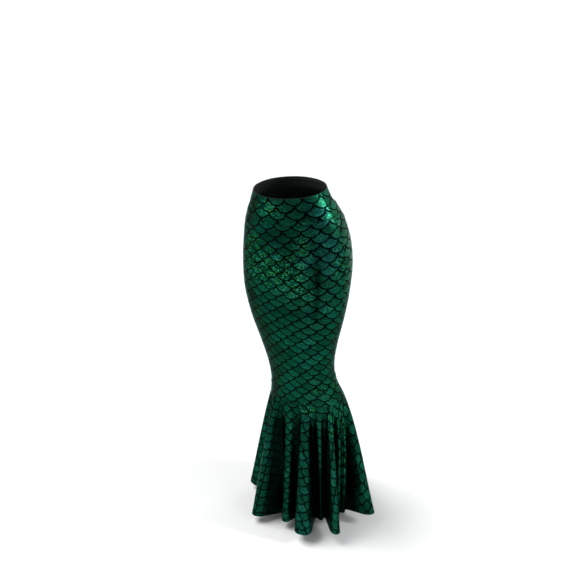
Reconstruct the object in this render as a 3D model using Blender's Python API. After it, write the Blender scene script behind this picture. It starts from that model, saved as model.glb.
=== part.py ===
"""Mermaid fishtail skirt in foil stretch knit, worn form, built for Blender 4.5.

Metres, +Z up. The origin is the middle of the waist opening, where the wearer holds the
skirt up. The front faces -Y and the wearer's left is +X. Six cloth pieces hang from the
waist edge: a waistband, a close-fitting tube and a circular flounce, each cut in a front
and a back half that meet at the side seams.
"""
from collections import namedtuple

import bmesh
import bpy
import numpy as np

# --- driving dimensions (metres) ---------------------------------------------------------
WALL = 0.0015            # cloth thickness
SEAM_GAP = 0.0003        # space between two pieces at a seam
BAND_DEPTH = 0.068       # waist edge to the waistband's seam
FLOUNCE_SEAM = 0.640     # waist edge to the flounce's seam
FLOUNCE_LENGTH = 0.400   # cut length of the flounce, seam to hem

# The tube's level sections. drop is the distance below the waist opening, half_width runs
# to either side, front and back are the depths before and behind the widest line, centre
# is where that line lies along Y, and the rises tilt the section up towards +Y and +X.
Section = namedtuple("Section", "drop half_width front back centre back_rise left_rise")
SECTIONS = (
    Section(0.000, 0.101, 0.082, 0.079, -0.001, 0.10, 0.06),
    Section(0.030, 0.1155, 0.0865, 0.079, 0.003, 0.10, 0.075),
    Section(0.068, 0.133, 0.092, 0.105, 0.009, 0.10, 0.09),
    Section(0.140, 0.153, 0.097, 0.128, 0.021, 0.08, 0.09),
    Section(0.210, 0.161, 0.098, 0.135, 0.025, 0.05, 0.09),
    Section(0.290, 0.157, 0.096, 0.125, 0.024, 0.00, 0.08),
    Section(0.370, 0.141, 0.089, 0.109, 0.028, -0.04, 0.08),
    Section(0.450, 0.117, 0.078, 0.098, 0.037, -0.07, 0.08),
    Section(0.520, 0.102, 0.069, 0.089, 0.048, -0.08, 0.09),
    Section(0.580, 0.102, 0.069, 0.090, 0.062, -0.07, 0.10),
    Section(0.640, 0.1175, 0.076, 0.099, 0.079, -0.05, 0.11),
)

# The flounce's folds, from the back left round the front. seam_turn is where a fold's crest
# leaves the seam and hem_turn where it ends, in degrees from the front towards +X. reach
# and valley are the crest's radius at the hem and that of the valley after it, about the
# middle of the hem. half_breadth is half of the crest's breadth at the hem and ripple a
# small fold's extra height halfway down.
Fold = namedtuple("Fold", "seam_turn hem_turn reach valley half_breadth ripple")
FOLDS = (
    Fold(-148, -146, 0.195, 0.120, 0.022, 0.000),
    Fold(-121, -121, 0.206, 0.124, 0.016, 0.000),
    Fold(-94, -98, 0.198, 0.126, 0.020, 0.000),
    Fold(-68, -76, 0.237, 0.140, 0.018, 0.000),
    Fold(-52, -51, 0.180, 0.138, 0.012, 0.000),
    Fold(-37, -31.5, 0.219, 0.118, 0.022, 0.000),
    Fold(-2, -7, 0.156, 0.108, 0.015, 0.000),
    Fold(24, 22.5, 0.194, 0.102, 0.038, 0.000),
    Fold(45, 40, 0.114, 0.104, 0.006, 0.012),
    Fold(65, 52.5, 0.194, 0.104, 0.017, 0.000),
    Fold(80, 68, 0.112, 0.102, 0.006, 0.014),
    Fold(93, 81, 0.110, 0.104, 0.006, 0.012),
    Fold(113, 98, 0.191, 0.112, 0.017, 0.000),
    Fold(138, 125, 0.164, 0.112, 0.018, 0.000),
    Fold(161, 153, 0.172, 0.118, 0.014, 0.000),
    Fold(186, 184, 0.202, 0.122, 0.019, 0.000),
)
HEM_MIDDLE = np.array((0.02, 0.12))   # the hem swings back and to the left of the waist
CREST_SHARE = 0.20       # part of a fold's cloth that rounds each side of its crest
CREST_LIMIT = 0.78       # most of the way to its valley that a crest may take up
FOLD_EARLINESS = 0.40    # how much sooner than evenly the flounce spreads below its seam
EARLINESS_SWING = 0.20   # how far that grows to one side and shrinks to the other
EARLIEST_TURN = np.radians(110)       # where it is greatest
RIPPLE_EARLINESS = 0.80  # the same for where a ripple is highest

# --- mesh density ------------------------------------------------------------------------
TUBE_TURN_STEPS = 32     # across each half of the tube
BAND_ROWS = 4
TUBE_ROWS = 18
FLOUNCE_ROWS = 9
FOLD_STEPS = np.array((0, 0.06, 0.12, 0.20, 0.33, 0.50, 0.67, 0.80, 0.88, 0.94))
LEAST_TURN_STEP = 0.8    # degrees, beside a side seam
FLOUNCE_ROW_POWER = 1.15  # rows lie closer together under the seam
SHARP_ANGLE = np.radians(40)

SIDE_TURN = np.radians(90)            # the side seams, left and right
PROBE = 1e-4                          # step for slopes, in radians or as a row fraction

SECTION_TABLE = np.array(SECTIONS)
FOLD_TABLE = np.array(FOLDS + (FOLDS[0]._replace(seam_turn=FOLDS[0].seam_turn + 360,
                                                 hem_turn=FOLDS[0].hem_turn + 360),))

# --- materials: name, base colour, roughness, metallic -------------------------------------
Foil = namedtuple("Foil", "colour roughness metallic")
FOILS = {
    "waistband": Foil((0.010, 0.105, 0.062), 0.34, 0.60),
    "skirt": Foil((0.010, 0.120, 0.070), 0.36, 0.60),
    "flounce": Foil((0.008, 0.110, 0.058), 0.40, 0.55),
}


def clear_scene():
    for item in list(bpy.data.objects):
        bpy.data.objects.remove(item, do_unlink=True)


def section_at(drop):
    """Section values at each drop, on smooth curves through the table's rows."""
    levels = SECTION_TABLE[:, 0]
    values = SECTION_TABLE[:, 1:]
    spans = np.diff(levels)[:, None]
    slopes = np.diff(values, axis=0) / spans
    tangents = np.zeros_like(values)
    tangents[1:-1] = (slopes[:-1] * spans[1:] + slopes[1:] * spans[:-1]) / (spans[:-1] + spans[1:])
    tangents[0] = 1.5 * slopes[0] - 0.5 * tangents[1]
    tangents[-1] = 1.5 * slopes[-1] - 0.5 * tangents[-2]

    row = np.clip(np.searchsorted(levels, drop, side="right") - 1, 0, len(levels) - 2)
    span = (levels[row + 1] - levels[row])[..., None]
    part = (drop - levels[row])[..., None] / span
    start = values[row] * (1 + 2 * part) * (1 - part) ** 2
    leave = tangents[row] * span * part * (1 - part) ** 2
    finish = values[row + 1] * part ** 2 * (3 - 2 * part)
    arrive = tangents[row + 1] * span * part ** 2 * (part - 1)
    return np.moveaxis(start + leave + finish + arrive, -1, 0)


def tube_point(drop, turn):
    """Outer surface of the waistband and the fitted tube."""
    half_width, front, back, centre, back_rise, left_rise = section_at(drop)
    depth = (front + back) / 2 + (front - back) / 2 * np.cos(turn)
    x = half_width * np.sin(turn)
    y = centre - depth * np.cos(turn)
    z = -drop + back_rise * y + left_rise * x
    return np.stack((x, y, z), axis=-1)


def fold_at(turn):
    """Direction and radius at the hem, and ripple height, below each point of the seam."""
    starts = FOLD_TABLE[:, 0]
    degrees = (np.degrees(turn) - starts[0]) % 360 + starts[0]
    fold = np.clip(np.searchsorted(starts, degrees, side="right") - 1, 0, len(starts) - 2)
    phase = (degrees - starts[fold]) / (starts[fold + 1] - starts[fold])
    nearest = np.where(phase < 0.5, fold, fold + 1)
    side = np.where(phase < 0.5, 1, -1)
    distance = np.where(phase < 0.5, phase, 1 - phase)

    _, hem_turns, reach, _, half_breadth, ripple = np.moveaxis(FOLD_TABLE[nearest], -1, 0)
    half_span = (FOLD_TABLE[fold + 1, 1] - FOLD_TABLE[fold, 1]) / 2
    crest_turn = np.minimum(np.degrees(half_breadth / reach), CREST_LIMIT * half_span)
    rounding = np.sin(np.pi / 2 * np.minimum(distance / CREST_SHARE, 1))
    opening = np.maximum(distance - CREST_SHARE, 0) / (0.5 - CREST_SHARE)
    hem_turn = hem_turns + side * (crest_turn * rounding + (half_span - crest_turn) * opening ** 2)

    crest = 0.5 + 0.5 * np.cos(2 * np.pi * distance)
    valley = FOLD_TABLE[fold, 3]
    radius = valley + (reach - valley) * crest
    return np.radians(hem_turn), radius, ripple * crest


def hastened(fall, earliness):
    """The fall, ahead of itself in the upper half and level with it at both ends."""
    return fall * (1 + earliness * (1 - fall) ** 2)


def flounce_point(fall, turn):
    """Outer surface of the flounce; fall runs from 0 at the seam to 1 at the hem."""
    seam = tube_point(np.full_like(turn, FLOUNCE_SEAM), turn)
    hem_turn, radius, ripple = fold_at(turn)
    outward = np.stack((np.sin(hem_turn), -np.cos(hem_turn)), axis=-1)
    spread = HEM_MIDDLE + radius[..., None] * outward - seam[..., :2]
    share = hastened(fall, FOLD_EARLINESS + EARLINESS_SWING * np.cos(turn - EARLIEST_TURN))
    bulge = ripple * np.sin(np.pi * hastened(fall, RIPPLE_EARLINESS))
    level = seam[..., :2] + spread * share[..., None] + outward * bulge[..., None]
    height = np.sqrt(FLOUNCE_LENGTH ** 2 - np.sum(spread ** 2, axis=-1))
    return np.concatenate((level, (seam[..., 2] - height * fall)[..., None]), axis=-1)


def unit(vectors):
    return vectors / np.linalg.norm(vectors, axis=-1, keepdims=True)


def sheet_grids(surface, rows, turns, joined_top, joined_foot):
    """Outer and inner points of one piece, rows downwards and turns from its right edge.

    The outer grid is drawn back by half a seam gap along every joined edge. The inner grid
    lies level with it, so that two pieces meet face to face at their seam.
    """
    turn, row = np.meshgrid(turns, rows)
    outer = surface(row, turn)
    along = surface(row, turn + PROBE) - surface(row, turn - PROBE)
    above = np.maximum(row - PROBE, rows[0])
    below = np.minimum(row + PROBE, rows[-1])
    down = surface(below, turn) - surface(above, turn)
    normal = unit(np.cross(down, along))
    level = unit(normal * (1, 1, 0))
    through = WALL / np.sum(level * normal, axis=-1, keepdims=True)

    shift = np.zeros_like(outer)
    half_gap = SEAM_GAP / 2
    shift[:, 0] += unit(along[:, 0]) * half_gap
    shift[:, -1] -= unit(along[:, -1]) * half_gap
    if joined_top:
        shift[0] += unit(down[0]) * half_gap
    if joined_foot:
        shift[-1] -= unit(down[-1]) * half_gap
    outer = outer + shift
    return outer, outer - level * through


def add_piece(name, grids, foil):
    """Close the outer and inner grids into one solid sheet of cloth."""
    outer, inner = grids
    row_count, turn_count = outer.shape[:2]
    shell = bmesh.new()
    corners = [[[shell.verts.new(point) for point in line] for line in grid] for grid in (outer, inner)]
    skin, lining = corners
    for i in range(row_count - 1):
        for j in range(turn_count - 1):
            shell.faces.new((skin[i][j], skin[i + 1][j], skin[i + 1][j + 1], skin[i][j + 1]))
            shell.faces.new((lining[i][j], lining[i][j + 1], lining[i + 1][j + 1], lining[i + 1][j]))
    for j in range(turn_count - 1):
        shell.faces.new((skin[0][j], skin[0][j + 1], lining[0][j + 1], lining[0][j]))
        shell.faces.new((skin[-1][j], lining[-1][j], lining[-1][j + 1], skin[-1][j + 1]))
    for i in range(row_count - 1):
        shell.faces.new((skin[i][0], lining[i][0], lining[i + 1][0], skin[i + 1][0]))
        shell.faces.new((skin[i][-1], skin[i + 1][-1], lining[i + 1][-1], lining[i][-1]))
    bmesh.ops.triangulate(shell, faces=shell.faces[:], quad_method="FIXED")

    mesh = bpy.data.meshes.new(name)
    shell.to_mesh(mesh)
    shell.free()
    mesh.shade_smooth()
    mesh.set_sharp_from_angle(angle=SHARP_ANGLE)
    mesh.materials.append(foil_material(name, foil))
    piece = bpy.data.objects.new(name, mesh)
    bpy.context.scene.collection.objects.link(piece)
    return piece


def foil_material(name, foil):
    material = bpy.data.materials.new(name + "_foil")
    material.use_nodes = True
    shader = material.node_tree.nodes["Principled BSDF"]
    shader.inputs["Base Color"].default_value = (*foil.colour, 1.0)
    shader.inputs["Roughness"].default_value = foil.roughness
    shader.inputs["Metallic"].default_value = foil.metallic
    return material


def tube_turns(start, end):
    return np.linspace(start, end, TUBE_TURN_STEPS + 1)


def flounce_turns(start, end):
    """Turns between two side seams, closest together round each fold's crest."""
    turns = []
    starts = FOLD_TABLE[:, 0]
    for first, following in zip(starts[:-1], starts[1:]):
        turns.extend(first + (following - first) * FOLD_STEPS)
    low, high = np.degrees(start), np.degrees(end)
    around = np.sort((np.array(turns) - low) % 360 + low)
    inside = around[(around > low + LEAST_TURN_STEP) & (around < high - LEAST_TURN_STEP)]
    return np.radians(np.concatenate(([low], inside, [high])))


def build_halves(name, surface, rows, turns_between, joined_top, joined_foot):
    foil = FOILS[name]
    for side, start in (("front", -SIDE_TURN), ("back", SIDE_TURN)):
        turns = turns_between(start, start + np.pi)
        grids = sheet_grids(surface, rows, turns, joined_top, joined_foot)
        add_piece(name + "_" + side, grids, foil)


def build_skirt():
    clear_scene()
    band_rows = np.linspace(0, BAND_DEPTH, BAND_ROWS + 1)
    tube_rows = np.linspace(BAND_DEPTH, FLOUNCE_SEAM, TUBE_ROWS + 1)
    flounce_rows = np.linspace(0, 1, FLOUNCE_ROWS + 1) ** FLOUNCE_ROW_POWER
    build_halves("waistband", tube_point, band_rows, tube_turns, False, True)
    build_halves("skirt", tube_point, tube_rows, tube_turns, True, True)
    build_halves("flounce", flounce_point, flounce_rows, flounce_turns, True, False)


build_skirt()
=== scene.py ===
"""Looks of a mermaid fishtail skirt: six sheets of foil stretch knit with a fish-scale print.

Every sheet is drawn on the form of the CAD node that it stands for. Metres, +Z up, the front
faces -Y, the wearer's left is +X and the origin is the middle of the waist opening.
"""

from collections import namedtuple

import bpy
import numpy as np
from mathutils import Matrix, Vector


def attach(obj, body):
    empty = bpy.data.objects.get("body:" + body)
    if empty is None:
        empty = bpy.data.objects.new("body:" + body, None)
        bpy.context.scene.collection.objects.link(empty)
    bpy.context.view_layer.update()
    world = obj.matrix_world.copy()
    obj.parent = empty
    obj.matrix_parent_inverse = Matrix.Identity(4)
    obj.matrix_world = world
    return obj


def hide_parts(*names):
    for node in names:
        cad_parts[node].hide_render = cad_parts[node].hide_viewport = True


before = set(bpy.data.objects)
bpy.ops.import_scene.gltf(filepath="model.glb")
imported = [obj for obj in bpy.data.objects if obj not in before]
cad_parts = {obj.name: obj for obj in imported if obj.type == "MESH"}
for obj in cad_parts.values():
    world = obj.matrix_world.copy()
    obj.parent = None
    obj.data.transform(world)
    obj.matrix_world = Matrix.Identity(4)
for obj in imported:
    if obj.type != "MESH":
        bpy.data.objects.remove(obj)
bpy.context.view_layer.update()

# --- the skirt's form, the same as the solids' -----------------------------------------------
BAND_DEPTH = 0.068
FLOUNCE_SEAM = 0.640
FLOUNCE_LENGTH = 0.400

# Sections of the tube: half of its width, how far it reaches to the front and the back of its
# centre, and how much a section rises, per metre, towards the back and the wearer's left.
Section = namedtuple("Section", "drop half_width front back centre back_rise left_rise")
SECTIONS = (
    Section(0.000, 0.101, 0.082, 0.079, -0.001, 0.10, 0.06),
    Section(0.030, 0.1155, 0.0865, 0.079, 0.003, 0.10, 0.075),
    Section(0.068, 0.133, 0.092, 0.105, 0.009, 0.10, 0.09),
    Section(0.140, 0.153, 0.097, 0.128, 0.021, 0.08, 0.09),
    Section(0.210, 0.161, 0.098, 0.135, 0.025, 0.05, 0.09),
    Section(0.290, 0.157, 0.096, 0.125, 0.024, 0.00, 0.08),
    Section(0.370, 0.141, 0.089, 0.109, 0.028, -0.04, 0.08),
    Section(0.450, 0.117, 0.078, 0.098, 0.037, -0.07, 0.08),
    Section(0.520, 0.102, 0.069, 0.089, 0.048, -0.08, 0.09),
    Section(0.580, 0.102, 0.069, 0.090, 0.062, -0.07, 0.10),
    Section(0.640, 0.1175, 0.076, 0.099, 0.079, -0.05, 0.11),
)

# Folds of the flounce: the turn of a fold's crest at the seam and at the hem in degrees, how far
# its crest and the valley after it are from the hem's middle, half of the crest's breadth, and
# how far a ripple bulges out between seam and hem.
Fold = namedtuple("Fold", "seam_turn hem_turn reach valley half_breadth ripple")
FOLDS = (
    Fold(-148, -146, 0.195, 0.120, 0.022, 0.000),
    Fold(-121, -121, 0.206, 0.124, 0.016, 0.000),
    Fold(-94, -98, 0.198, 0.126, 0.020, 0.000),
    Fold(-68, -76, 0.237, 0.140, 0.018, 0.000),
    Fold(-52, -51, 0.180, 0.138, 0.012, 0.000),
    Fold(-37, -31.5, 0.219, 0.118, 0.022, 0.000),
    Fold(-2, -7, 0.156, 0.108, 0.015, 0.000),
    Fold(24, 22.5, 0.194, 0.102, 0.038, 0.000),
    Fold(45, 40, 0.114, 0.104, 0.006, 0.012),
    Fold(65, 52.5, 0.194, 0.104, 0.017, 0.000),
    Fold(80, 68, 0.112, 0.102, 0.006, 0.014),
    Fold(93, 81, 0.110, 0.104, 0.006, 0.012),
    Fold(113, 98, 0.191, 0.112, 0.017, 0.000),
    Fold(138, 125, 0.164, 0.112, 0.018, 0.000),
    Fold(161, 153, 0.172, 0.118, 0.014, 0.000),
    Fold(186, 184, 0.202, 0.122, 0.019, 0.000),
)
HEM_MIDDLE = np.array((0.02, 0.12))
CREST_SHARE = 0.20       # the part of a fold, on each side, that forms its rounded crest
CREST_LIMIT = 0.78       # the most of half a fold that a crest may take up at the hem
# How much sooner than a straight fall the cloth spreads below the seam, and where that is most.
FOLD_EARLINESS = 0.40
EARLINESS_SWING = 0.20
EARLIEST_TURN = np.radians(110)
RIPPLE_EARLINESS = 0.80
SIDE_TURN = np.radians(90)

SECTION_TABLE = np.array(SECTIONS)
FOLD_TABLE = np.array(FOLDS + (FOLDS[0]._replace(seam_turn=FOLDS[0].seam_turn + 360,
                                                 hem_turn=FOLDS[0].hem_turn + 360),))

# --- the sheets ------------------------------------------------------------------------------
CLOTH = 0.0010           # thickness
BACK = 1                 # the material slot of the knit's back
SEAM_DIP = 0.0007        # how far the cloth is drawn in at a seam
SEAM_REACH = 0.0030      # how far from the seam that shows
SIDE_SHARE = 0.5         # the depth of a side seam, as a share of the others'
TUBE_TURNS = 150         # columns across each half of the tube
TUBE_STEP = 0.004        # height of a row
SEAM_ROWS = np.array((0, 0.0006, 0.0013, 0.0021, 0.0032))   # how far they are from a seam
SEAM_MARGIN = 0.006      # and how far from it the even rows start
FOLD_COLUMNS = 28        # columns in each fold of the flounce
SIDE_MARGIN = 0.3        # degrees beside a side seam that have no column
FLOUNCE_ROWS = 100
FLOUNCE_CROWDING = 1.15  # above 1, the rows are closer together near the seam
PROBE = 1e-4             # how far to each side a surface's directions are measured

# The waist edge and the hem are turned in and stitched.
WAIST_TURN = 0.0095
HEM_TURN = 0.0125
TURNED = 0.8             # how much thicker the cloth is there, in layers
TURN_EDGE = 0.0012       # how softly that ends
EDGE_STEP = 0.0008       # height of a row there
EDGE_PAST = 0.002        # how far those rows go past what is turned in
WAIST_GAP = 0.003        # how far past it the waistband's other rows start
HEM_GAP = 0.004          # how far they stay from the hem's, as a share of the fall
STITCH_PITCH = 0.0032
STITCH_LENGTH = 0.0026
THREAD = 0.00024         # half of the thread's thickness
STITCH_RISE = 1.5        # how far a stitch's middle stands up, in thread halves
STITCH_SINK = 0.5        # how far its ends go down
STITCH_PROBE = 5 * PROBE
WAIST_STITCHES = (0.0080,)
HEM_STITCHES = (0.0080, 0.0110)   # rows of stitches, above the hem's edge
STITCH_DIP = 0.00025
STITCH_REACH = 0.0011

# Creases in the tube. turn and drop place a crease's middle, and slant tips its right end, seen
# from outside, down. Turns and slants are in degrees. A negative height is a trough.
Crease = namedtuple("Crease", "turn drop slant half_length half_breadth height")
BAND_CREASES = (
    Crease(-38, 0.052, 4, 0.030, 0.0050, 0.0018),
    Crease(-33, 0.063, -3, 0.036, 0.0045, -0.0014),
    Crease(-52, 0.040, 8, 0.022, 0.0050, -0.0012),
    Crease(41, 0.061, -2, 0.011, 0.0030, 0.0016),
    Crease(12, 0.060, 3, 0.018, 0.0040, 0.0008),
    Crease(74, 0.046, -6, 0.020, 0.0045, -0.0010),
    Crease(-80, 0.055, -4, 0.024, 0.0045, 0.0012),
    Crease(128, 0.050, 5, 0.028, 0.0050, 0.0016),
    Crease(150, 0.060, -3, 0.032, 0.0045, -0.0014),
    Crease(178, 0.044, 2, 0.040, 0.0055, 0.0018),
    Crease(191, 0.058, -2, 0.034, 0.0045, -0.0013),
    Crease(222, 0.052, -5, 0.026, 0.0050, 0.0014),
    Crease(240, 0.062, 4, 0.020, 0.0040, -0.0010),
)
TUBE_CREASES = (
    Crease(-36, 0.082, -4, 0.032, 0.0060, 0.0016),
    Crease(-44, 0.096, 6, 0.024, 0.0055, -0.0012),
    Crease(20, 0.078, 2, 0.030, 0.0050, 0.0010),
    Crease(58, 0.584, 24, 0.030, 0.0048, 0.0016),
    Crease(66, 0.600, 32, 0.026, 0.0050, -0.0014),
    Crease(74, 0.576, 20, 0.022, 0.0045, 0.0014),
    Crease(38, 0.606, 12, 0.026, 0.0050, 0.0010),
    Crease(-62, 0.600, -30, 0.026, 0.0050, 0.0014),
    Crease(-74, 0.584, -18, 0.024, 0.0045, -0.0012),
    Crease(112, 0.560, 14, 0.026, 0.0055, 0.0016),
    Crease(134, 0.548, 6, 0.034, 0.0060, -0.0018),
    Crease(158, 0.536, -3, 0.040, 0.0060, 0.0022),
    Crease(176, 0.556, 3, 0.042, 0.0060, -0.0020),
    Crease(198, 0.528, 4, 0.036, 0.0055, 0.0018),
    Crease(214, 0.550, -8, 0.034, 0.0055, 0.0016),
    Crease(236, 0.566, -14, 0.026, 0.0050, -0.0014),
    Crease(146, 0.302, -14, 0.040, 0.0080, -0.0020),
    Crease(152, 0.320, -10, 0.034, 0.0075, 0.0012),
    Crease(212, 0.300, 15, 0.038, 0.0080, -0.0020),
    Crease(207, 0.322, 9, 0.030, 0.0070, 0.0012),
    Crease(180, 0.084, 0, 0.044, 0.0065, -0.0014),
    Crease(130, 0.092, 8, 0.028, 0.0055, 0.0012),
    Crease(232, 0.090, -7, 0.028, 0.0055, 0.0012),
)

# --- the print (scales of 40 mm, in rows 18 mm apart on the flat cloth) ----------------------
HALF_SCALE = 0.020
ROW = 0.018
# On the stretched tube: where the print's guide column runs from the middle of the panel, how
# broad half a scale is, and how far a row sinks towards the wearer's left.
Stretch = namedtuple("Stretch", "drop column half_scale sink")
TUBE_PRINT = np.array((
    Stretch(0.068, 0.1375, 0.0252, 0.00),
    Stretch(0.140, 0.1345, 0.0242, 0.01),
    Stretch(0.200, 0.1325, 0.0238, 0.02),
    Stretch(0.250, 0.1290, 0.0236, 0.04),
    Stretch(0.305, 0.1250, 0.0232, 0.07),
    Stretch(0.340, 0.1210, 0.0226, 0.09),
    Stretch(0.411, 0.1140, 0.0209, 0.13),
    Stretch(0.446, 0.1100, 0.0198, 0.14),
    Stretch(0.519, 0.1025, 0.0189, 0.13),
    Stretch(0.588, 0.1050, 0.0204, 0.10),
    Stretch(0.640, 0.1085, 0.0214, 0.05),
))
TUBE_FIRST_ROW = 0.120
TUBE_ROW = 0.01795
TUBE_BACK_SHIFT = (0.011, 0.006)  # how far across and down the back's print is moved
# On the waistband the first three are shares of the panel's width.
BAND_COLUMN = 0.299
BAND_HALF_SCALE = 0.0773
BAND_BACK_SHIFT = 0.031
BAND_FIRST_ROW = 0.036
BAND_ROW = 0.0184
RING_RADIUS = 0.1044     # the flounce's print turns as on a full ring of cloth
RING_START = (0.82, 0.42)  # how far it is moved, in half scales and rows
# How far a fold's print is turned from where its seam would put it, in degrees.
RING_EASE = {-37: -4.0, 65: -6.5, 113: -3.5}

# Where the foil looks different: the middle and half size of a soft patch, its turns in degrees,
# then how much it sparkles with painted glints, how much painted shade darkens it, how much it is
# painted teal where its reflections run teal and how much a painted sheen turns it pale.
Patch = namedtuple("Patch", "turn drop half_turn half_drop sparkle shade teal pale",
                   defaults=(0.0,))
PATCHES = (
    Patch(-35, 0.196, 18, 0.055, 0.95, 0.00, 0.00),
    Patch(107, 0.158, 14, 0.125, 0.00, 0.00, 0.00, 1.00),
    Patch(-112, 0.150, 14, 0.080, 0.00, 0.00, 0.00, 0.20),
    Patch(-38, 0.052, 22, 0.050, 0.00, 0.26, 0.10),
    Patch(-60, 0.330, 24, 0.210, 0.00, 0.30, 0.12),
    Patch(92, 0.790, 8, 0.130, 0.50, 0.00, 0.00),
    # a painted highlight along the crest of a fold of the flounce
    Patch(-37.2, 0.830, 0.7, 0.110, 0.00, 0.00, 0.00, 1.25),
    Patch(64, 0.705, 9, 0.060, 0.60, 0.00, 0.30),
    Patch(-36, 0.840, 12, 0.190, 0.00, 0.20, 0.00),
    Patch(20, 0.628, 44, 0.016, 0.00, 0.14, 0.00),
    Patch(3, 0.197, 30, 0.046, 1.00, 0.00, 0.00),
    Patch(-34, 0.130, 16, 0.030, 0.70, 0.00, 0.00),
    Patch(-4, 0.028, 16, 0.022, 0.65, 0.00, 0.15),
    Patch(36, 0.130, 9, 0.026, 0.75, 0.00, 0.00),
    Patch(80, 0.205, 9, 0.032, 0.95, 0.00, 0.00),
    Patch(30, 0.256, 11, 0.022, 0.70, 0.00, 0.00),
    Patch(12, 0.108, 27, 0.046, 0.00, 0.72, 0.15),
    Patch(-6, 0.352, 34, 0.030, 0.00, 0.16, 0.00),
    Patch(28, 0.022, 15, 0.028, 0.00, 0.42, 0.10),
    Patch(36, 0.322, 40, 0.028, 0.00, 0.32, 0.00),
    # a painted reflection of dark surroundings: a dark band down the hip
    Patch(49, 0.215, 5.5, 0.110, 0.00, 0.90, 0.00),
    Patch(34, 0.178, 9, 0.028, 0.00, 0.00, 0.80),
    Patch(64, 0.150, 20, 0.090, 0.15, 0.00, 0.85),
    Patch(66, 0.040, 16, 0.040, 0.10, 0.00, 0.60),
    Patch(-20, 0.300, 26, 0.024, 0.10, 0.25, 0.10),
    Patch(62, 0.590, 12, 0.016, 0.90, 0.00, 0.00),
    Patch(28, 0.650, 12, 0.014, 0.90, 0.00, 0.10),
    Patch(176, 0.200, 32, 0.055, 0.90, 0.00, 0.10),
    Patch(132, 0.140, 16, 0.034, 0.60, 0.00, 0.20),
    Patch(228, 0.150, 18, 0.060, 0.20, 0.00, 0.80),
    Patch(206, 0.110, 20, 0.040, 0.00, 0.45, 0.00),
    Patch(150, 0.270, 14, 0.040, 0.00, 0.35, 0.20),
    Patch(246, 0.240, 12, 0.030, 0.80, 0.00, 0.00),
    Patch(118, 0.590, 14, 0.018, 0.70, 0.00, 0.10),
    Patch(214, 0.600, 14, 0.020, 0.70, 0.00, 0.00),
    Patch(-86, 0.330, 14, 0.070, 0.10, 0.00, 0.50),
    Patch(-66, 0.220, 12, 0.040, 0.60, 0.00, 0.10),
)
# Folds of the flounce painted teal where their reflections run teal: their turn and half breadth
# in degrees, and how much.
PAINTED_FOLD_TEALS = ((24, 11, 0.35), (-37, 8, 0.30), (-121, 12, 0.50), (161, 12, 0.55), (65, 7, 0.25))

# The shade of the flounce's valleys, by the fold's turn at the seam. lit_right and lit_left say
# where it starts on the fold's flanks towards the wearer's right and left, 0 at the crest and 1
# in the valley. It is full from the fall full_at on. A ripple sinks into its neighbours' shade
# between the falls sinks_from and sunk_at.
Shade = namedtuple("Shade", "lit_right lit_left full_at sinks_from sunk_at",
                   defaults=(0.25, 0.25, 0.20, 2.0, 3.0))
SHADES = {
    -37: Shade(0.25, 0.06),
    -2: Shade(0.22, 0.12),
    24: Shade(0.30, 0.46),
    45: Shade(0.40, 0.46, sinks_from=0.32, sunk_at=0.64),
    65: Shade(0.56, 0.46, 0.36),
    80: Shade(0.62, 0.70, 0.70, 0.70, 0.98),
    93: Shade(0.68, 0.70, 0.85, 0.62, 0.95),
    113: Shade(0.32, 0.25, 0.32),
}
SHADE_TABLE = np.array([SHADES.get(fold.seam_turn, Shade()) for fold in FOLDS + FOLDS[:1]])
SHADE_SPREAD = 0.40      # how far down a flank it takes to be full
RIPPLE_SHADE = 0.90      # the shade of a ripple that has sunk


def section_at(drop):
    """Section values at each drop, on smooth curves through the table's rows."""
    levels = SECTION_TABLE[:, 0]
    values = SECTION_TABLE[:, 1:]
    spans = np.diff(levels)[:, None]
    slopes = np.diff(values, axis=0) / spans
    tangents = np.zeros_like(values)
    tangents[1:-1] = (slopes[:-1] * spans[1:] + slopes[1:] * spans[:-1]) / (spans[:-1] + spans[1:])
    tangents[0] = 1.5 * slopes[0] - 0.5 * tangents[1]
    tangents[-1] = 1.5 * slopes[-1] - 0.5 * tangents[-2]

    row = np.clip(np.searchsorted(levels, drop, side="right") - 1, 0, len(levels) - 2)
    span = (levels[row + 1] - levels[row])[..., None]
    part = (drop - levels[row])[..., None] / span
    start = values[row] * (1 + 2 * part) * (1 - part) ** 2
    leave = tangents[row] * span * part * (1 - part) ** 2
    finish = values[row + 1] * part ** 2 * (3 - 2 * part)
    arrive = tangents[row + 1] * span * part ** 2 * (part - 1)
    return np.moveaxis(start + leave + finish + arrive, -1, 0)


def tube_point(drop, turn):
    half_width, front, back, centre, back_rise, left_rise = section_at(drop)
    depth = (front + back) / 2 + (front - back) / 2 * np.cos(turn)
    x = half_width * np.sin(turn)
    y = centre - depth * np.cos(turn)
    z = -drop + back_rise * y + left_rise * x
    return np.stack((x, y, z), axis=-1)


def nearest_fold(turn):
    """The fold that starts before each turn, the nearest one, the side of it and how far off."""
    starts = FOLD_TABLE[:, 0]
    degrees = (np.degrees(turn) - starts[0]) % 360 + starts[0]
    fold = np.clip(np.searchsorted(starts, degrees, side="right") - 1, 0, len(starts) - 2)
    phase = (degrees - starts[fold]) / (starts[fold + 1] - starts[fold])
    nearest = np.where(phase < 0.5, fold, fold + 1)
    side = np.where(phase < 0.5, 1, -1)
    distance = np.where(phase < 0.5, phase, 1 - phase)
    return fold, nearest, side, distance


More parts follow.
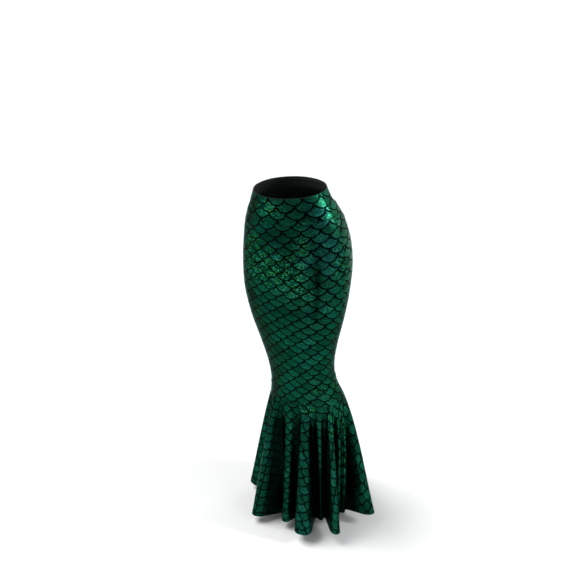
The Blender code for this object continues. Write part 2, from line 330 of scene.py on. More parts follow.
def fold_at(turn):
    """Direction, radius and ripple height at the hem, and how near the crest each turn is."""
    fold, nearest, side, distance = nearest_fold(turn)

    _, hem_turns, reach, _, half_breadth, ripple = np.moveaxis(FOLD_TABLE[nearest], -1, 0)
    half_span = (FOLD_TABLE[fold + 1, 1] - FOLD_TABLE[fold, 1]) / 2
    crest_turn = np.minimum(np.degrees(half_breadth / reach), CREST_LIMIT * half_span)
    rounding = np.sin(np.pi / 2 * np.minimum(distance / CREST_SHARE, 1))
    opening = np.maximum(distance - CREST_SHARE, 0) / (0.5 - CREST_SHARE)
    hem_turn = hem_turns + side * (crest_turn * rounding + (half_span - crest_turn) * opening ** 2)

    crest = 0.5 + 0.5 * np.cos(2 * np.pi * distance)
    valley = FOLD_TABLE[fold, 3]
    radius = valley + (reach - valley) * crest
    return np.radians(hem_turn), radius, ripple * crest, crest


def hastened(fall, earliness):
    return fall * (1 + earliness * (1 - fall) ** 2)


def flounce_point(fall, turn):
    seam = tube_point(np.full_like(turn, FLOUNCE_SEAM), turn)
    hem_turn, radius, ripple, _ = fold_at(turn)
    outward = np.stack((np.sin(hem_turn), -np.cos(hem_turn)), axis=-1)
    spread = HEM_MIDDLE + radius[..., None] * outward - seam[..., :2]
    share = hastened(fall, FOLD_EARLINESS + EARLINESS_SWING * np.cos(turn - EARLIEST_TURN))
    bulge = ripple * np.sin(np.pi * hastened(fall, RIPPLE_EARLINESS))
    level = seam[..., :2] + spread * share[..., None] + outward * bulge[..., None]
    height = np.sqrt(FLOUNCE_LENGTH ** 2 - np.sum(spread ** 2, axis=-1))
    return np.concatenate((level, (seam[..., 2] - height * fall)[..., None]), axis=-1)


def unit(vectors):
    return vectors / np.linalg.norm(vectors, axis=-1, keepdims=True)


def surface_grid(surface, rows, turns):
    """Points and outward directions on a grid of rows and turns."""
    turn, row = np.meshgrid(turns, rows)
    points = surface(row, turn)
    along = surface(row, turn + PROBE) - surface(row, turn - PROBE)
    above = np.maximum(row - PROBE, rows[0])
    below = np.minimum(row + PROBE, rows[-1])
    down = surface(below, turn) - surface(above, turn)
    return row, turn, points, unit(np.cross(down, along))


def lengths_along(points):
    """Distance along each row from its first point."""
    steps = np.linalg.norm(np.diff(points, axis=1), axis=-1)
    return np.concatenate((np.zeros((len(points), 1)), np.cumsum(steps, axis=1)), axis=1)


def turn_from(turn, degrees):
    """How far turn is from a turn in degrees, the shorter way round."""
    return (turn - np.radians(degrees) + np.pi) % (2 * np.pi) - np.pi


def creased(creases, row, turn, girth):
    """Height of the creases over the tube; girth is half of the way round at each row."""
    height = np.zeros_like(turn)
    for crease in creases:
        across_way = turn_from(turn, crease.turn) * girth / np.pi
        down_way = row - crease.drop
        slant = np.radians(crease.slant)
        along = (across_way * np.cos(slant) + down_way * np.sin(slant)) / crease.half_length
        aside = (down_way * np.cos(slant) - across_way * np.sin(slant)) / crease.half_breadth
        profile = (1 - 0.5 * aside ** 2) * np.exp(-0.5 * aside ** 2)
        height += crease.height * profile * np.exp(-along ** 2 - 0.5 * along ** 4)
    return height


def seam_dip(distance):
    return SEAM_DIP * np.exp(-(distance / SEAM_REACH) ** 2)


def side_dip(way):
    """How far both side seams draw the cloth in, from the distances along each row."""
    return SIDE_SHARE * (seam_dip(way) + seam_dip(way[:, -1:] - way))


def stitch_dip(distance, rows):
    """How far rows of stitches draw the cloth in, at each distance from its edge."""
    return sum(STITCH_DIP * np.exp(-((distance - row) / STITCH_REACH) ** 2) for row in rows)


def smooth(value):
    value = np.clip(value, 0, 1)
    return value * value * (3 - 2 * value)


def turned_in(distance, reach):
    """1 where cloth is turned in behind itself, 0 further from its edge."""
    return smooth((reach - distance) / TURN_EDGE + 0.5)


def patched(row, turn):
    """How much the foil sparkles with painted glints, takes painted shade, is painted teal where
    its reflections run teal and is turned pale by a painted sheen, at each point.
    """
    values = np.zeros(turn.shape + (4,))
    for patch in PATCHES:
        near = np.exp(-(turn_from(turn, patch.turn) / np.radians(patch.half_turn)) ** 2
                      - ((row - patch.drop) / patch.half_drop) ** 2)
        values += near[..., None] * (patch.sparkle, patch.shade, patch.teal, patch.pale)
    return np.clip(values, 0, 1)


# --- turning grids into cloth ----------------------------------------------------------------
def add_object(name, data):
    piece = bpy.data.objects.new(name, data)
    bpy.context.scene.collection.objects.link(piece)
    return piece


def end_faces(ring, winding):
    """Faces that close a sheet along one side, given the ring of its points there."""
    rows = len(ring) // 2 - 1
    faces = [(ring[i], ring[-2 - i], ring[-3 - i], ring[i + 1]) for i in range(rows - 1)]
    faces += [(ring[rows - 1], ring[rows + 1], ring[rows]), (ring[-1], ring[-2], ring[0])]
    return [face[::winding] for face in faces]


def sheet_mesh(name, points, outward, height, flat, looks, turned=0.0):
    """A closed thin sheet: the printed face, the back of the knit and rounded edges.

    height lifts the points outward. flat holds the print's coordinates, in half scales across
    and rows down, looks what patched() gives, and turned how much of a second layer lies behind
    each point.
    """
    row_count, turn_count = points.shape[:2]
    outer = points + outward * height[..., None]
    layers = 1 + TURNED * np.broadcast_to(turned, height.shape)[..., None]
    inner = outer - outward * CLOTH * layers
    middle = (outer + inner) / 2
    top = middle[0] + unit(middle[0] - middle[1]) * CLOTH / 2
    foot = middle[-1] + unit(middle[-1] - middle[-2]) * CLOTH / 2
    # rows run down the printed face, round the foot, up the back and round the top
    ring = np.concatenate((outer, foot[None], inner[::-1], top[None]))
    ring_flat = np.concatenate((flat, flat[-1:], flat[::-1], flat[:1]))
    ring_looks = np.concatenate((looks, looks[-1:], looks[::-1], looks[:1]))

    index = np.arange(len(ring) * turn_count).reshape(len(ring), turn_count)
    below = np.roll(index, -1, axis=0)
    quads = np.stack((index[:, :-1], below[:, :-1], below[:, 1:], index[:, 1:]), axis=-1)
    slots = np.zeros((len(ring), turn_count - 1), int)
    slots[row_count:2 * row_count + 1] = BACK
    slots[-1] = BACK
    ends = end_faces(index[:, 0].tolist(), 1) + end_faces(index[:, -1].tolist(), -1)

    mesh = bpy.data.meshes.new(name)
    mesh.from_pydata(ring.reshape(-1, 3).tolist(), [], quads.reshape(-1, 4).tolist() + ends)
    mesh.polygons.foreach_set("material_index", slots.ravel().tolist() + [BACK] * len(ends))
    loops = np.empty(len(mesh.loops), int)
    mesh.loops.foreach_get("vertex_index", loops)
    layer = mesh.uv_layers.new(name="print")
    layer.data.foreach_set("uv", ring_flat.reshape(-1, 2)[loops].astype(np.float32).ravel())
    # looks carries the painted glint, painted shade, painted teal and painted pale sheen
    colours = mesh.color_attributes.new(name="looks", type="FLOAT_COLOR", domain="POINT")
    colours.data.foreach_set("color", ring_looks.astype(np.float32).ravel())
    mesh.shade_smooth()
    mesh.update()
    return mesh


def add_sheet(name, mesh, materials):
    for material in materials:
        mesh.materials.append(material)
    piece = add_object(name + "_cloth", mesh)
    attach(piece, "root")
    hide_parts(name)


def edge_rows(reach):
    """Distances from an edge, close together as far as the cloth is turned in."""
    return np.arange(0, reach + EDGE_PAST, EDGE_STEP)


def rows_between(first, last):
    """Rows down the tube, closer together at both seams."""
    count = round((last - first - 2 * SEAM_MARGIN) / TUBE_STEP)
    middle = np.linspace(first + SEAM_MARGIN, last - SEAM_MARGIN, count + 1)
    return np.concatenate((first + SEAM_ROWS, middle, last - SEAM_ROWS[::-1]))


def side_starts():
    return (("front", -SIDE_TURN), ("back", SIDE_TURN))


def add_band(materials):
    rows = rows_between(0, BAND_DEPTH)
    rows = np.concatenate((edge_rows(WAIST_TURN), rows[rows > WAIST_TURN + WAIST_GAP]))
    for side, start in side_starts():
        turns = np.linspace(start, start + np.pi, TUBE_TURNS + 1)
        row, turn, points, outward = surface_grid(tube_point, rows, turns)
        way = lengths_along(points)
        girth = way[:, -1:]
        height = creased(BAND_CREASES, row, turn, girth)
        height -= seam_dip(BAND_DEPTH - row) + side_dip(way) + stitch_dip(row, WAIST_STITCHES)
        middle = (way - girth / 2) / girth
        shift = 0 if side == "front" else BAND_BACK_SHIFT
        across = (middle + shift - BAND_COLUMN) / BAND_HALF_SCALE
        down = (row - BAND_FIRST_ROW) / BAND_ROW
        mesh = sheet_mesh("waistband_" + side, points, outward, height,
                          np.stack((across, down), axis=-1), patched(row, turn),
                          turned_in(row, WAIST_TURN))
        add_sheet("waistband_" + side, mesh, materials)


def add_tube(materials):
    rows = rows_between(BAND_DEPTH, FLOUNCE_SEAM)
    for side, start in side_starts():
        turns = np.linspace(start, start + np.pi, TUBE_TURNS + 1)
        row, turn, points, outward = surface_grid(tube_point, rows, turns)
        way = lengths_along(points)
        girth = way[:, -1:]
        height = creased(TUBE_CREASES, row, turn, girth)
        height -= seam_dip(row - BAND_DEPTH) + seam_dip(FLOUNCE_SEAM - row) + side_dip(way)
        column, half_scale, sink = (np.interp(row, TUBE_PRINT[:, 0], values)
                                    for values in TUBE_PRINT[:, 1:].T)
        middle = way - girth / 2
        shift, fall = (0, 0) if side == "front" else TUBE_BACK_SHIFT
        across = (middle + shift - column) / half_scale
        down = (row + fall - TUBE_FIRST_ROW - sink * (middle - column)) / TUBE_ROW
        mesh = sheet_mesh("skirt_" + side, points, outward, height,
                          np.stack((across, down), axis=-1), patched(row, turn))
        add_sheet("skirt_" + side, mesh, materials)


def fold_columns():
    """Turns in degrees, evenly spaced within each fold, with a row for each fold."""
    starts = FOLD_TABLE[:, 0]
    return np.array([np.linspace(start, end, FOLD_COLUMNS, endpoint=False)
                     for start, end in zip(starts, starts[1:])])


def fold_turns(start):
    """Turns across one half of the flounce."""
    low = np.degrees(start)
    around = np.sort((fold_columns().ravel() - low) % 360 + low)
    inside = around[(around > low + SIDE_MARGIN) & (around < low + 180 - SIDE_MARGIN)]
    return np.radians(np.concatenate(([low], inside, [low + 180])))


def ring_angles(falls):
    """Turns right round the flounce, and the print's angle there on the full ring at each fall.

    Every crest keeps the angle at which its cloth leaves the seam. Cloth that the ring has and
    the folds do not is taken up in the valleys.
    """
    starts = FOLD_TABLE[:, 0]
    turns = np.radians(np.append(fold_columns().ravel(), starts[-1]))
    fall, turn = np.meshgrid(falls, turns, indexing="ij")
    steps = np.linalg.norm(np.diff(flounce_point(fall, turn), axis=1), axis=-1)
    seam = np.append(0, np.cumsum(steps[0])) * 2 * np.pi / np.sum(steps[0])
    ease = np.array([RING_EASE.get(fold.seam_turn, 0.0) for fold in FOLDS + FOLDS[:1]])
    crests = np.interp(np.radians(starts), turns, seam - np.interp(0, turns, seam))
    crests += np.radians(ease)

    crest = fold_at(turns)[3]
    hidden = steps * (1 - (crest[1:] + crest[:-1]) / 2) ** 2
    first = np.arange(0, steps.shape[1], FOLD_COLUMNS)
    radius = RING_RADIUS + falls[:, None] * FLOUNCE_LENGTH
    missing = np.diff(crests) * radius - np.add.reduceat(steps, first, axis=1)
    share = missing / np.add.reduceat(hidden, first, axis=1)
    widths = steps + np.repeat(share, FOLD_COLUMNS, axis=1) * hidden
    around = np.concatenate((np.zeros((len(falls), 1)), np.cumsum(widths, axis=1)), axis=1)
    return turns, crests[0] + around / radius


def ring_print(falls, half_turns):
    """The print's coordinates on one half of the flounce."""
    round_turns, round_angles = ring_angles(falls)
    wrapped = (half_turns - round_turns[0]) % (2 * np.pi) + round_turns[0]
    angle = np.array([np.interp(wrapped, round_turns, row) for row in round_angles])
    angle += half_turns - wrapped
    radius = RING_RADIUS + falls[:, None] * FLOUNCE_LENGTH
    across, down = radius * np.sin(angle) / HALF_SCALE, radius * np.cos(angle) / ROW
    return np.stack((across, down), axis=-1) + np.array(RING_START)


def valley_shade(fall, turn):
    """How deep in the shade of the folds each point of the flounce lies."""
    fold, nearest, side, distance = nearest_fold(turn)
    crest = fold_at(turn)[3]
    lit_right, lit_left, _, sinks_from, sunk_at = np.moveaxis(SHADE_TABLE[nearest], -1, 0)
    shade = smooth((1 - crest - np.where(side > 0, lit_left, lit_right)) / SHADE_SPREAD)
    sunk = smooth((fall - sinks_from) / (sunk_at - sinks_from))
    full_at = SHADE_TABLE[:, 2]
    phase = np.where(side > 0, distance, 1 - distance)
    full = full_at[fold] * (1 - phase) + full_at[fold + 1] * phase
    return np.maximum(shade * np.minimum(fall / full, 1), RIPPLE_SHADE * sunk)


def flounce_looks(fall, turn):
    """What patched() gives, with the valleys' painted shade and the folds' painted teal."""
    looks = patched(FLOUNCE_SEAM + fall * FLOUNCE_LENGTH, turn)
    _, shade, teal, _ = np.moveaxis(looks, -1, 0)
    shade[:] = np.clip(shade + valley_shade(fall, turn), 0, 1)
    for fold_turn, half_turn, amount in PAINTED_FOLD_TEALS:
        near = np.exp(-(turn_from(turn, fold_turn) / np.radians(half_turn)) ** 2)
        teal[:] = np.maximum(teal, amount * near)
    return looks


def add_flounce(materials):
    hem_rows = 1 - edge_rows(HEM_TURN)[::-1] / FLOUNCE_LENGTH
    falls = np.linspace(0, 1, FLOUNCE_ROWS + 1) ** FLOUNCE_CROWDING
    falls = np.concatenate((falls[falls < hem_rows[0] - HEM_GAP], hem_rows))
    for side, start in side_starts():
        turns = fold_turns(start)
        fall, turn, points, outward = surface_grid(flounce_point, falls, turns)
        way = lengths_along(points)
        drop = fall * FLOUNCE_LENGTH
        to_hem = FLOUNCE_LENGTH - drop
        height = -seam_dip(drop) - side_dip(way) - stitch_dip(to_hem, HEM_STITCHES)
        mesh = sheet_mesh("flounce_" + side, points, outward, height, ring_print(falls, turns),
                          flounce_looks(fall, turn), turned_in(to_hem, HEM_TURN))
        add_sheet("flounce_" + side, mesh, materials)


# --- sewing ----------------------------------------------------------------------------------
def stitch_row(surface, row, turns):
    """Points and faces of the stitches along one row of a surface."""
    probes = row + np.array((-1, 0, 1)) * STITCH_PROBE
    _, _, points, outward = surface_grid(surface, probes, turns)
    path, outward = points[1] - outward[1] * STITCH_DIP, outward[1]
    way = np.append(0, np.cumsum(np.linalg.norm(np.diff(path, axis=0), axis=1)))
    count = int((way[-1] - STITCH_PITCH) // STITCH_PITCH)
    middle = (way[-1] - (count - 1) * STITCH_PITCH) / 2 + np.arange(count) * STITCH_PITCH

    def at(place, values):
        return np.stack([np.interp(place, way, values[:, axis]) for axis in range(3)], axis=-1)

    start, end = at(middle - STITCH_LENGTH / 2, path), at(middle + STITCH_LENGTH / 2, path)
    centre, up = at(middle, path), unit(at(middle, outward))
    aside = unit(np.cross(end - start, up))
    # a stitch dives in at both ends and stands proud in its middle
    corners = np.stack((start - up * THREAD * STITCH_SINK,
                        centre + up * THREAD * STITCH_RISE, centre + aside * THREAD,
                        centre - up * THREAD, centre - aside * THREAD,
                        end - up * THREAD * STITCH_SINK), axis=1)
    around = ((1, 2), (2, 3), (3, 4), (4, 1))
    faces = np.array([(0, b, a) for a, b in around] + [(5, a, b) for a, b in around])
    index = np.arange(count)[:, None, None] * corners.shape[1] + faces
    return corners.reshape(-1, 3), index.reshape(-1, 3)


def add_stitches(name, surface, rows, turns, material):
    points, faces, used = [], [], 0
    for row in rows:
        corners, triangles = stitch_row(surface, row, turns)
        points.append(corners)
        faces.append(triangles + used)
        used += len(corners)
    mesh = bpy.data.meshes.new(name)
    mesh.from_pydata(np.concatenate(points).tolist(), [], np.concatenate(faces).tolist())
    mesh.materials.append(material)
    mesh.shade_smooth()
    piece = add_object(name, mesh)
    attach(piece, "root")


def add_sewing(material):
    for side, start in side_starts():
        around = np.linspace(start, start + np.pi, 4 * TUBE_TURNS + 1)
        add_stitches("waist_stitches_" + side, tube_point, WAIST_STITCHES, around, material)
        falls = [1 - row / FLOUNCE_LENGTH for row in HEM_STITCHES]
        add_stitches("hem_stitches_" + side, flounce_point, falls, fold_turns(start), material)


# --- materials -------------------------------------------------------------------------------
LINE = (0.0005, 0.0009, 0.0009, 1)
GREEN = (0.0026, 0.0442, 0.0246, 1)
# TEAL is the scales' own hue where it differs at random, and a painted reflection where the
# patches paint the foil teal
TEAL = (0.0042, 0.0418, 0.0385, 1)
# a painted sheen: the pale that mirroring a bright backdrop gives the foil
PAINTED_SHEEN_COLOUR = (0.046, 0.122, 0.068, 1)
PAINTED_GLINT_LIME = (0.0500, 0.420, 0.075, 1)
PAINTED_GLINT_AQUA = (0.0250, 0.350, 0.270, 1)
MIRROR_TINT = (0.14, 0.37, 0.37, 1)     # of what the foil mirrors at grazing angles
BACK_COLOURS = ((0.0080, 0.0130, 0.0115, 1), (0.016, 0.025, 0.022, 1))
THREAD_COLOURS = ((0.003, 0.016, 0.011, 1), (0.009, 0.042, 0.028, 1))
FLOOR_COLOURS = ((0.80, 0.80, 0.80, 1), (0.84, 0.84, 0.84, 1))

# The printed lines. An arc hangs from node to node in each row of scales.
ARC_POWER = 0.60         # its form: 0.5 would be half an ellipse, 1 a parabola
STEEPEST = 3.2           # keeps its line from growing too thick near the nodes
LINE_HALF = 0.104        # half of a line's breadth, in half scales
LINE_EDGE = (-0.02, 0.03)    # how softly it ends
LINE_SWELL = 0.06        # how much a line's breadth varies
STRAY_ACROSS = 0.16      # how far the lines stray from an even pattern
STRAY_DOWN = 0.12

# the foil sparkles with painted glints on a crinkled relief, in clouds and in patches
SPARKLE_MIDDLE = 0.45    # the foil sparkles where the noise of its clouds is above this
SPARKLE_SWING = 0.8
LEAST_SPARKLE = 0.10
HUE_SWING = 0.45         # how much the scales differ in hue
# The foil is crinkled into facets, each with three random tones. The first paints a glint, a
# painted highlight, on it, the second turns that glint from lime to aqua and the third, where
# low, makes it dull. Each of them acts between two values.
GLINTS = (0.45, 0.95)
GLINT_HUES = (0.35, 0.75)
GLINT_SHARE = 0.95
DULL_FACETS = (0.12, 0.52)
DULLNESS = (0.70, 0.18)  # for full sparkle, and on top of that everywhere
# The foil's brightness, from the lowest to the highest value of each cause. The shade that
# darkens it is painted shade.
SPARKLE_LIGHT = (1.0, 0.72)
SCALE_LIGHT = (0.74, 1.30)
FALL_LIGHT = (0.80, 1.20)
GRAIN_LIGHT = (0.60, 1.45)
SHADE_LIGHT = (1.0, 0.09)

FOIL_ROUGHNESS = (0.22, 0.34)
LINE_ROUGHNESS = 0.18    # how much rougher the lines are
METALLIC = (0.84, 0.915)  # on the lines, and on the foil
FILM = 0.014             # a clear film that shows where the cloth turns away
PALE_FILM = 0.20         # how much more of it there is on pale scales
FILM_SHOWS = (0.30, 0.80)
RIB_RELIEF = 0.05
LINE_RELIEF = 0.10


class Nodes:
    """Short names for building the nodes of a material or a world."""

    def __init__(self, owner, shader="Principled BSDF"):
        owner.use_nodes = True
        self.owner = owner
        self.tree = owner.node_tree
        self.shader = self.tree.nodes[shader]

    def put(self, node, index, value):
        if isinstance(value, bpy.types.NodeSocket):
            self.tree.links.new(value, node.inputs[index])
        else:
            node.inputs[index].default_value = value

    def add(self, kind, inputs=None, **settings):
        node = self.tree.nodes.new(kind)
        for key, value in settings.items():
            setattr(node, key, value)
        for index, value in (inputs or {}).items():
            self.put(node, index, value)
        return node

    def math(self, operation, *values):
        return self.add("ShaderNodeMath", dict(enumerate(values)), operation=operation).outputs[0]

    def swing(self, value, middle, share, base):
        """base, and added to it a share of how far value is above middle."""
        return self.math("MULTIPLY_ADD", self.math("SUBTRACT", value, middle), share, base)

    def limited(self, value, low):
        """value, kept between low and 1."""
        return self.math("MAXIMUM", self.math("MINIMUM", value, 1.0), low)

    def step(self, value, low, high):
        """0 below low, 1 above high, smooth between."""
        return self.add("ShaderNodeMapRange", {0: value, 1: low, 2: high},
                        interpolation_type="SMOOTHSTEP").outputs[0]

    def ranged(self, value, low, high):
        """0..1 stretched to low..high."""
        return self.add("ShaderNodeMapRange", {0: value, 3: low, 4: high}).outputs[0]

    def mix(self, factor, first, second, blend="MIX"):
        inputs = {0: factor, 6: first, 7: second}
        return self.add("ShaderNodeMix", inputs, data_type="RGBA", blend_type=blend).outputs[2]

    def vector(self, x, y, z=0.0):
        return self.add("ShaderNodeCombineXYZ", {0: x, 1: y, 2: z}).outputs[0]

    def print_place(self):
        return self.add("ShaderNodeUVMap", uv_map="print").outputs[0]

    def noise(self, vector, scale, detail, roughness=0.5):
        inputs = {"Vector": vector, "Scale": scale, "Detail": detail, "Roughness": roughness}
        return self.add("ShaderNodeTexNoise", inputs, noise_dimensions="2D").outputs[0]


def arc_distance(nodes, fall, away):
    """Distance to the arc that hangs between a row's nodes, and the arc's own fall."""
    left = nodes.math("SUBTRACT", 1.0, nodes.math("MULTIPLY", away, away))
    left = nodes.math("MAXIMUM", left, 1e-4)
    arc = nodes.math("POWER", left, ARC_POWER)
    slope = nodes.math("MULTIPLY", nodes.math("MULTIPLY", away, 2 * ARC_POWER),
                       nodes.math("POWER", left, ARC_POWER - 1))
    steep = nodes.math("SQRT", nodes.math("MULTIPLY_ADD", slope, slope, 1.0))
    steep = nodes.math("MINIMUM", steep, STEEPEST)
    gap = nodes.math("ABSOLUTE", nodes.math("SUBTRACT", fall, arc))
    return nodes.math("DIVIDE", gap, steep), arc


def scale_print(nodes, uv):
    """The print: 1 inside a scale and 0 on the lines, the scale's chance, and its inner fall."""
    wobble = nodes.noise(uv, scale=0.9, detail=1.0)
    split = nodes.add("ShaderNodeSeparateXYZ", {0: uv})
    across = nodes.swing(wobble, 0.5, STRAY_ACROSS, split.outputs[0])
    down = nodes.swing(wobble, 0.5, STRAY_DOWN, split.outputs[1])
    row = nodes.math("FLOOR", down)
    fall = nodes.math("SUBTRACT", down, row)
    odd = nodes.math("FLOORED_MODULO", row, 2.0)
    pair = nodes.math("MULTIPLY", nodes.math("ADD", across, odd), 0.5)
    column = nodes.math("FLOOR", pair)
    away = nodes.math("ABSOLUTE", nodes.swing(pair, column, 2.0, -1.0))
    near_line, arc = arc_distance(nodes, fall, away)
    last_line, _ = arc_distance(nodes, nodes.math("ADD", fall, 1.0),
                                nodes.math("SUBTRACT", 1.0, away))
    line = nodes.math("MINIMUM", near_line, last_line)
    thick = nodes.swing(wobble, 0.5, LINE_SWELL, LINE_HALF)
    inside = nodes.step(nodes.math("SUBTRACT", line, thick), *LINE_EDGE)

    # a point above its row's arc is in that row's scale, one below it in the next row's
    over = nodes.math("LESS_THAN", fall, arc)
    next_pair = nodes.math("ADD", across, nodes.math("SUBTRACT", 1.0, odd))
    next_column = nodes.math("FLOOR", nodes.math("MULTIPLY", next_pair, 0.5))
    own_column = nodes.swing(column, next_column, over, next_column)
    own_row = nodes.math("ADD", row, nodes.math("SUBTRACT", 1.0, over))
    chance = nodes.add("ShaderNodeTexWhiteNoise", {0: nodes.vector(own_column, own_row)},
                       noise_dimensions="2D").outputs[0]
    inner_fall = nodes.math("MULTIPLY", nodes.math("ADD", fall, over), 0.5)
    return inside, chance, inner_fall


def foil_material():
    nodes = Nodes(bpy.data.materials.new("foil_scales"))
    uv = nodes.print_place()
    inside, chance, inner_fall = scale_print(nodes, uv)
    # the looks attribute carries the painted glint, painted shade, painted teal and painted pale
    # sheen
    places = nodes.add("ShaderNodeAttribute", attribute_name="looks").outputs
    looks = nodes.add("ShaderNodeSeparateColor", {0: places["Color"]}).outputs
    patch_sparkle, patch_shade, patch_painted_teal = looks[0], looks[1], looks[2]

    facets = nodes.add("ShaderNodeTexVoronoi", {"Vector": uv, "Scale": 7.0, "Randomness": 1.0},
                       voronoi_dimensions="2D")
    tones = nodes.add("ShaderNodeSeparateColor", {0: facets.outputs["Color"]}).outputs
    cloud = nodes.noise(uv, scale=0.55, detail=3.0)
    grain = nodes.noise(uv, scale=7.0, detail=3.0, roughness=0.7)
    sparkle = nodes.swing(cloud, SPARKLE_MIDDLE, SPARKLE_SWING, patch_sparkle)
    sparkle = nodes.limited(sparkle, LEAST_SPARKLE)

    # hue: random for each scale, plus painted teal where the foil's reflections run teal
    hue = nodes.limited(nodes.swing(chance, 0.5, HUE_SWING, patch_painted_teal), 0.0)
    colour = nodes.mix(hue, GREEN, TEAL)
    # a painted sheen turns the foil pale where the patches ask for it
    colour = nodes.mix(places["Alpha"], colour, PAINTED_SHEEN_COLOUR)
    # painted glints: some facets are painted bright lime and aqua
    glint = nodes.math("MULTIPLY", nodes.step(tones[0], *GLINTS),
                       nodes.math("MULTIPLY", sparkle, GLINT_SHARE))
    glint_colour = nodes.mix(nodes.step(tones[1], *GLINT_HUES), PAINTED_GLINT_LIME, PAINTED_GLINT_AQUA)
    colour = nodes.mix(glint, colour, glint_colour)

    dullness = nodes.math("MULTIPLY_ADD", sparkle, *DULLNESS)
    bright = nodes.swing(nodes.step(tones[2], *DULL_FACETS), 1.0, dullness, 1.0)
    for cause, lights in ((sparkle, SPARKLE_LIGHT), (chance, SCALE_LIGHT),
                          (inner_fall, FALL_LIGHT), (grain, GRAIN_LIGHT),
                          (patch_shade, SHADE_LIGHT)):
        bright = nodes.math("MULTIPLY", bright, nodes.ranged(cause, *lights))
    colour = nodes.mix(1.0, colour, nodes.vector(bright, bright, bright), "MULTIPLY")
    colour = nodes.mix(inside, LINE, colour)

    roughness = nodes.swing(1.0, inside, LINE_ROUGHNESS, nodes.ranged(grain, *FOIL_ROUGHNESS))
    facing = nodes.add("ShaderNodeLayerWeight", {0: 0.5}).outputs["Facing"]
    film = nodes.math("MULTIPLY_ADD", nodes.math("MULTIPLY", places["Alpha"], inside),
                      PALE_FILM, FILM)
    film = nodes.math("MULTIPLY", nodes.step(facing, *FILM_SHOWS), film)

    # relief: the crinkle, the knit's fine ribs and the printed lines' slight step
    ribs = nodes.add("ShaderNodeTexWave", {"Vector": uv, "Scale": 10.0, "Distortion": 0.6,
                                           "Detail": 0.0})
    crinkle = nodes.add("ShaderNodeTexVoronoi", {"Vector": uv, "Scale": 6.5, "Smoothness": 0.6},
                        voronoi_dimensions="2D", feature="SMOOTH_F1")
    relief = nodes.math("MULTIPLY", crinkle.outputs["Distance"], sparkle)
    relief = nodes.math("MULTIPLY_ADD", ribs.outputs[1], RIB_RELIEF, relief)
    relief = nodes.math("MULTIPLY_ADD", inside, LINE_RELIEF, relief)
    bump = nodes.add("ShaderNodeBump", {"Strength": 0.35, "Distance": 0.0011, "Height": relief})

    shader = nodes.shader
    nodes.put(shader, "Base Color", colour)
    nodes.put(shader, "Roughness", roughness)
    nodes.put(shader, "Metallic", nodes.ranged(inside, *METALLIC))
    nodes.put(shader, "Normal", bump.outputs[0])
    nodes.put(shader, "Coat Weight", film)
    shader.inputs["Coat Roughness"].default_value = 0.20
    shader.inputs["Specular IOR Level"].default_value = 0.10
    shader.inputs["Specular Tint"].default_value = MIRROR_TINT
    return nodes.owner


def back_material():
    """The knit's unprinted back: matt near-black with fine ribs."""
    nodes = Nodes(bpy.data.materials.new("knit_back"))
    uv = nodes.print_place()
    ribs = nodes.add("ShaderNodeTexWave", {"Vector": uv, "Scale": 8.0, "Distortion": 0.8,
                                           "Detail": 1.0})
    cloud = nodes.noise(uv, scale=2.0, detail=4.0)
    bump = nodes.add("ShaderNodeBump", {"Strength": 0.3, "Distance": 0.0004,
                                        "Height": ribs.outputs[1]})
    nodes.put(nodes.shader, "Base Color", nodes.mix(nodes.step(cloud, 0.3, 0.7), *BACK_COLOURS))
    nodes.put(nodes.shader, "Normal", bump.outputs[0])
    nodes.put(nodes.shader, "Roughness", nodes.ranged(cloud, 0.75, 0.92))
    nodes.shader.inputs["Sheen Weight"].default_value = 0.04
    nodes.shader.inputs["Specular IOR Level"].default_value = 0.25
    return nodes.owner


def thread_material():
    """Dark green sewing thread, twisted and a little glossy."""
    nodes = Nodes(bpy.data.materials.new("sewing_thread"))
    place = nodes.add("ShaderNodeTexCoord").outputs["Object"]
    twist = nodes.add("ShaderNodeTexWave", {"Vector": place, "Scale": 900.0, "Distortion": 1.0})
    nodes.put(nodes.shader, "Base Color", nodes.mix(twist.outputs["Color"], *THREAD_COLOURS))
    nodes.put(nodes.shader, "Roughness", nodes.ranged(twist.outputs[1], 0.45, 0.65))
    nodes.shader.inputs["Specular IOR Level"].default_value = 0.30
    return nodes.owner


def floor_material():
    nodes = Nodes(bpy.data.materials.new("pale_floor"))
    place = nodes.add("ShaderNodeTexCoord").outputs["Object"]
    cloud = nodes.add("ShaderNodeTexNoise", {"Vector": place, "Scale": 3.0, "Detail": 3.0})
    cloud = cloud.outputs[0]
    nodes.put(nodes.shader, "Base Color", nodes.mix(cloud, *FLOOR_COLOURS))
    nodes.put(nodes.shader, "Roughness", nodes.ranged(cloud, 0.7, 0.8))
    return nodes.owner


# --- stage -----------------------------------------------------------------------------------
FLOOR = -1.067
FLOOR_REACH = 30.0
WORLD_LIGHT = 0.36
WORLD_COLOUR = (0.98, 0.99, 1.0, 1)
BACKDROP = 1.0
# Soft lights in the world: where they are and how far their core and their edge reach from their
# middle, all in degrees, then how strong they are.
Glow = namedtuple("Glow", "turn lift core reach strength")
GLOWS = (
    Glow(170, 4, 20, 40, 1.8),
    Glow(92, 34, 8, 30, 1.3),
    Glow(-44, -4, 6, 26, 0.9),
)
SUN_PLACE = (-60, 62)    # turn and lift in degrees
SUN_BREADTH = np.radians(35)
SUN_STRENGTH = 2.7
# A soft box that looks at the hip on the wearer's left.
STRIP_PLACE = (115, 17)
STRIP_AWAY = 2.3
STRIP_AIM = (0.08, 0.0, -0.05)
STRIP_SIZE = (0.30, 0.7)
STRIP_POWER = 31.0
STRIP_COLOUR = (0.95, 1.0, 0.98)

CAMERA_TURN = np.radians(38)
CAMERA_AWAY = 2.0
CAMERA_HEIGHT = 0.613
CAMERA_PITCH = np.radians(24.2)
FOCAL_PIXELS = 820.0
IMAGE_PIXELS = 580.0


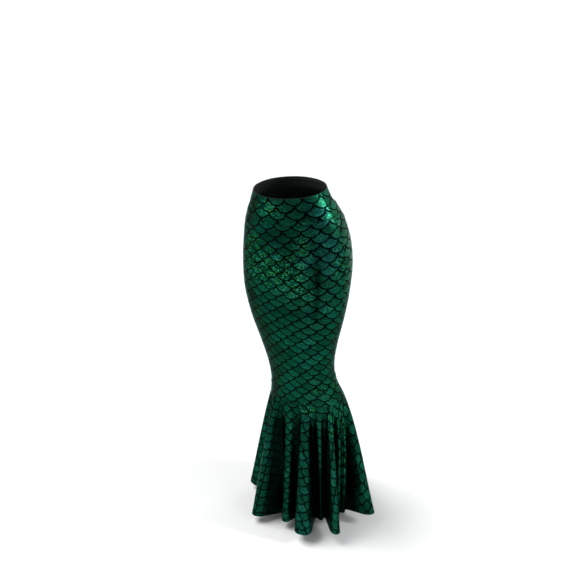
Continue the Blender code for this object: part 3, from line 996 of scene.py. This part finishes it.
def toward(turn, lift):
    turn, lift = np.radians(turn), np.radians(lift)
    return Vector((np.sin(turn) * np.cos(lift), -np.cos(turn) * np.cos(lift), np.sin(lift)))


def looking_from(turn, lift):
    """The rotation of a light that looks at the skirt from there."""
    return toward(turn, lift).to_track_quat("Z", "Y").to_euler()


def add_floor():
    mesh = bpy.data.meshes.new("floor")
    sides = ((-1, -1), (1, -1), (1, 1), (-1, 1))
    corners = [(x * FLOOR_REACH, y * FLOOR_REACH, FLOOR) for x, y in sides]
    mesh.from_pydata(corners, [], [(0, 1, 2, 3)])
    mesh.materials.append(floor_material())
    floor = add_object("floor", mesh)


def add_world():
    world = bpy.data.worlds.new("studio")
    nodes = Nodes(world, "Background")
    way = nodes.add("ShaderNodeTexCoord").outputs["Generated"]
    strength = WORLD_LIGHT
    for glow in GLOWS:
        near = nodes.add("ShaderNodeVectorMath", {0: way, 1: toward(glow.turn, glow.lift)},
                         operation="DOT_PRODUCT").outputs["Value"]
        edge, core = np.cos(np.radians((glow.reach, glow.core)))
        ramp = nodes.add("ShaderNodeMapRange", {0: near, 1: edge, 2: core, 4: glow.strength},
                         interpolation_type="SMOOTHSTEP")
        strength = nodes.math("ADD", ramp.outputs[0], strength)
    # the backdrop that the camera sees is a plain pale one
    seen = nodes.add("ShaderNodeLightPath").outputs["Is Camera Ray"]
    strength = nodes.add("ShaderNodeMix", {0: seen, 2: strength, 3: BACKDROP}).outputs[0]
    nodes.put(nodes.shader, "Color", WORLD_COLOUR)
    nodes.put(nodes.shader, "Strength", strength)
    bpy.context.scene.world = world


def add_lights():
    sun = bpy.data.lights.new("overhead", "SUN")
    sun.energy = SUN_STRENGTH
    sun.angle = SUN_BREADTH
    add_object("overhead", sun).rotation_euler = looking_from(*SUN_PLACE)

    box = bpy.data.lights.new("hip_strip", "AREA")
    box.shape = "RECTANGLE"
    box.size, box.size_y = STRIP_SIZE
    box.energy = STRIP_POWER
    box.color = STRIP_COLOUR
    strip = add_object("hip_strip", box)
    strip.location = Vector(STRIP_AIM) + toward(*STRIP_PLACE) * STRIP_AWAY
    strip.rotation_euler = looking_from(*STRIP_PLACE)
    strip.visible_camera = False


def add_camera():
    data = bpy.data.cameras.new("camera")
    data.sensor_width = 36.0
    data.lens = FOCAL_PIXELS / IMAGE_PIXELS * data.sensor_width
    camera = add_object("camera", data)
    place = Vector((np.sin(CAMERA_TURN) * CAMERA_AWAY, -np.cos(CAMERA_TURN) * CAMERA_AWAY,
                    CAMERA_HEIGHT))
    turned = Matrix.Rotation(CAMERA_TURN, 4, "Z")
    pitched = Matrix.Rotation(np.pi / 2 - CAMERA_PITCH, 4, "X")
    camera.matrix_world = Matrix.Translation(place) @ turned @ pitched
    bpy.context.scene.camera = camera


cloth_materials = (foil_material(), back_material())
add_band(cloth_materials)
add_tube(cloth_materials)
add_flounce(cloth_materials)
add_sewing(thread_material())

add_floor()
add_world()
add_lights()
add_camera()
bpy.context.scene.view_settings.view_transform = "Standard"
